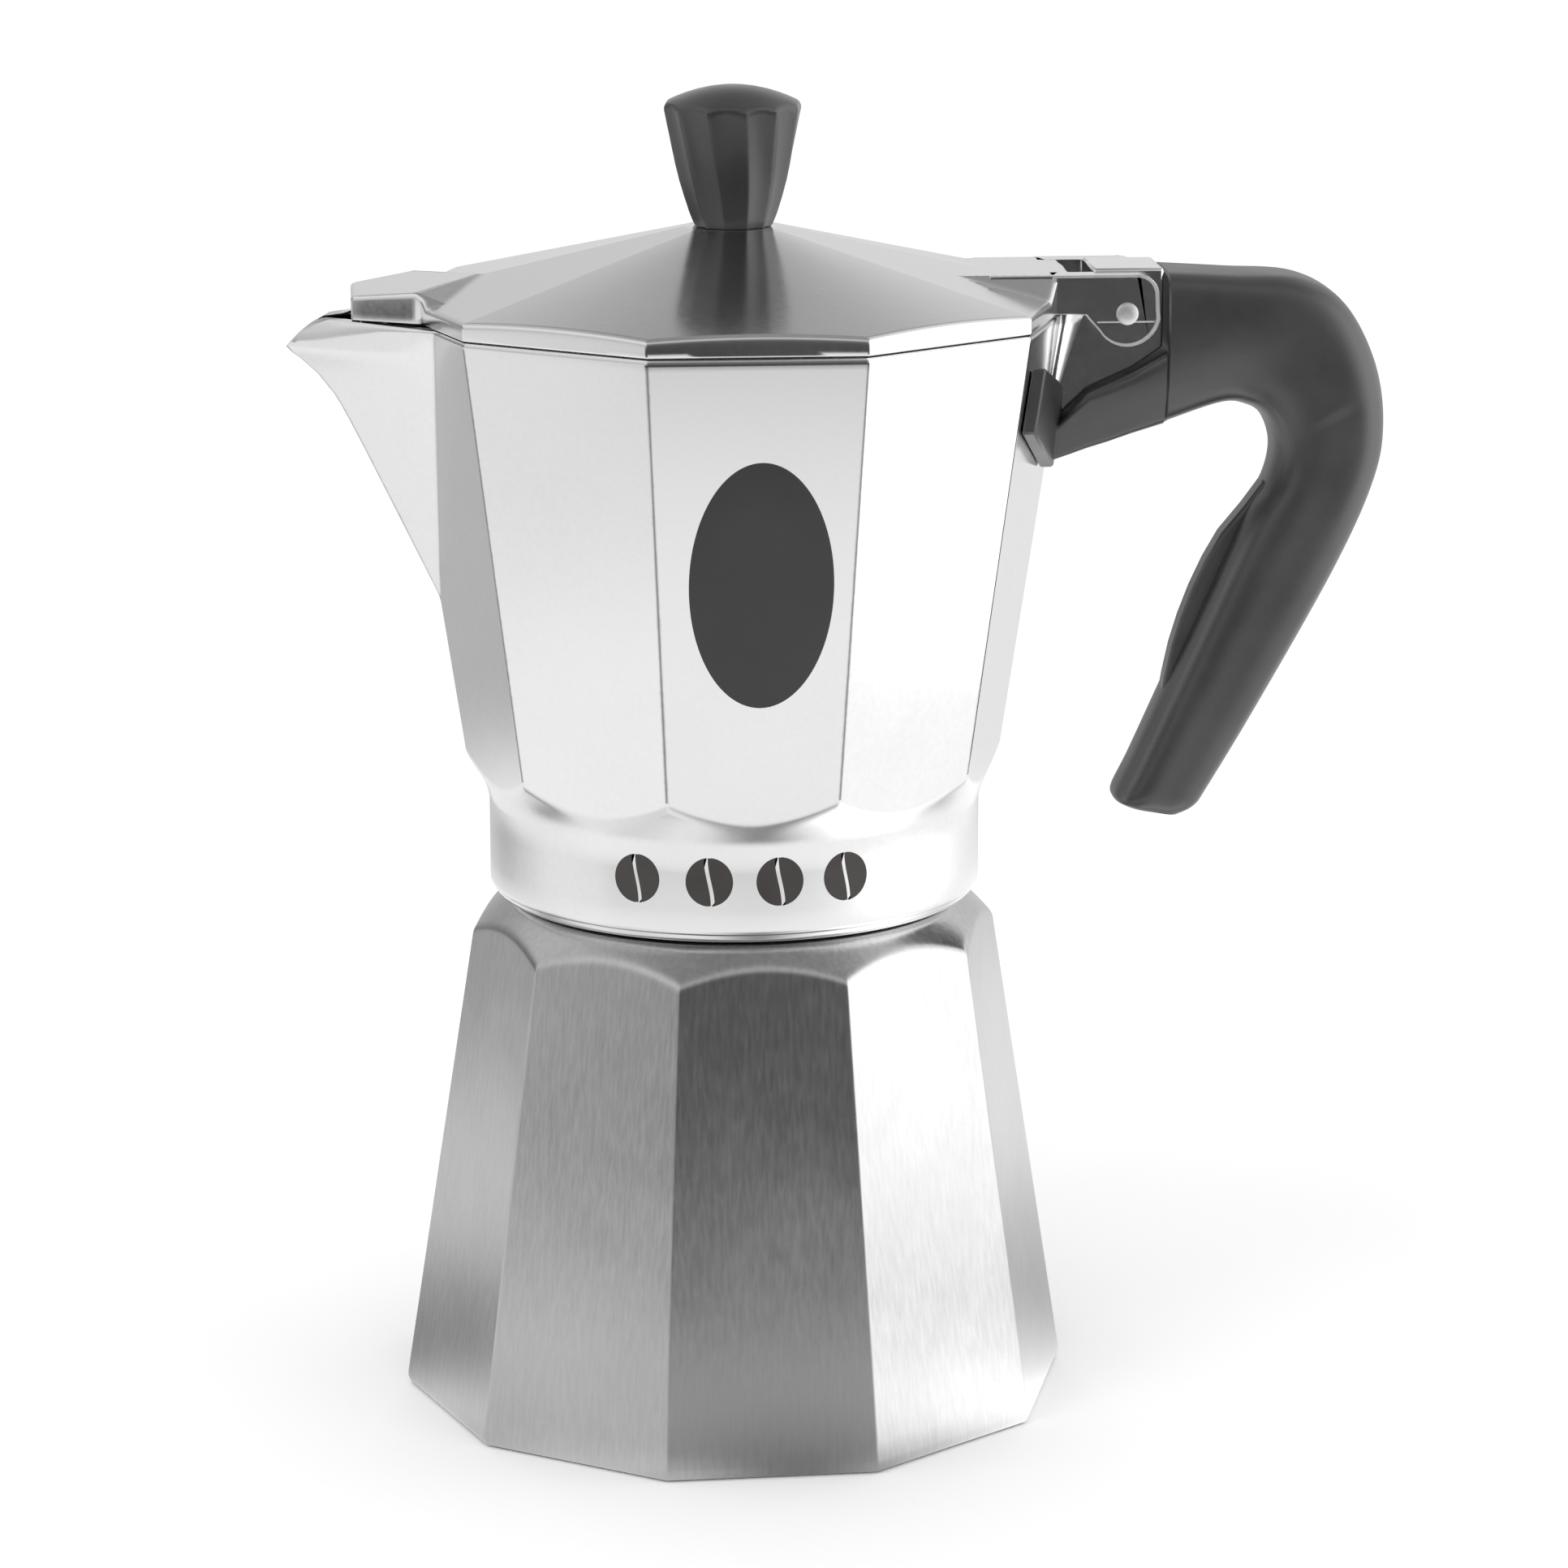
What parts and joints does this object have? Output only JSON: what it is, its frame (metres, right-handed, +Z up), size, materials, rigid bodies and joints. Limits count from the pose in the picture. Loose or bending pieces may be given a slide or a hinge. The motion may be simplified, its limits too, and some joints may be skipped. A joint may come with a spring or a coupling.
{
  "type": "moka pot",
  "caption": "Faceted stovetop moka pot: boiler with safety valve, coffee funnel, filter and gasket, upper vessel with V spout and column, hinged lid with knob, angled side handle.",
  "frame": {"origin": "centre of the flat base, on the axis of the boiler's neck", "axes": "+Z up along the pot's axis, +X towards the handle, -X towards the spout, -Y the front face that carries the oval badge"},
  "size_m": [0.1774, 0.1058, 0.2154],
  "materials": {
    "boiler": "satin brushed",
    "vessel": "polished",
    "lid": "polished",
    "sheet": "spun satin",
    "brass": "turned",
    "steel": "bright",
    "seal": "matte",
    "black": "moulded, soft sheen",
    "badge": "flat dark print"
  },
  "bodies": {
    "boiler_body": {"boiler": "boiler", "valve_body": "brass", "valve_washer": "steel", "valve_nut": "brass", "valve_cap": "brass", "valve_spring": "steel"},
    "plunger_body": {"valve_plunger": "brass"},
    "funnel_body": {"funnel": "sheet", "funnel_stem": "sheet", "funnel_disc": "sheet"},
    "seal_body": {"gasket": "seal"},
    "filter_body": {"filter_plate": "sheet"},
    "vessel_body": {"vessel": "vessel", "column_cap": "sheet", "hinge_pin": "steel", "handle": "black", "handle_screw": "steel", "badge": "badge", "bean_marks": "badge"},
    "lid_body": {"lid": "lid", "knob": "black", "knob_washer": "steel", "knob_screw": "steel"}
  },
  "joints": [
    {"name": "valve_lift", "type": "slide", "parent": "boiler_body", "child": "plunger_body", "axis": [-0.0397, 0.9883, 0.1474], "range_m": [0, 0.0015], "stiffness_N_per_m": 600, "springref_m": -0.001, "deforming": ["valve_spring"]},
    {"name": "funnel_lift", "type": "slide", "parent": "boiler_body", "child": "funnel_body", "axis": [0, 0, 1], "range_m": [0, 0.1]},
    {"name": "vessel_lift", "type": "slide", "parent": "boiler_body", "child": "seal_body", "axis": [0, 0, 1], "range_m": [0, 0.2]},
    {"name": "thread_rise", "type": "slide", "parent": "seal_body", "child": "filter_body", "axis": [0, 0, 1], "range_m": [0, 0.003]},
    {"name": "vessel_unscrew", "type": "hinge", "parent": "filter_body", "child": "vessel_body", "pos_m": [0, 0, 0.09], "axis": [0, 0, 1], "range_deg": [0, 360]},
    {"name": "lid_hinge", "type": "hinge", "parent": "vessel_body", "child": "lid_body", "pos_m": [0.0621, 0, 0.1796], "axis": [0, 1, 0], "range_deg": [0, 95]}
  ],
  "couplings": [
    {"joint": "funnel_lift", "follows": "vessel_lift", "ratio": 0.5},
    {"joint": "thread_rise", "follows": "vessel_unscrew", "m_per_rad": 0.000477}
  ]
}
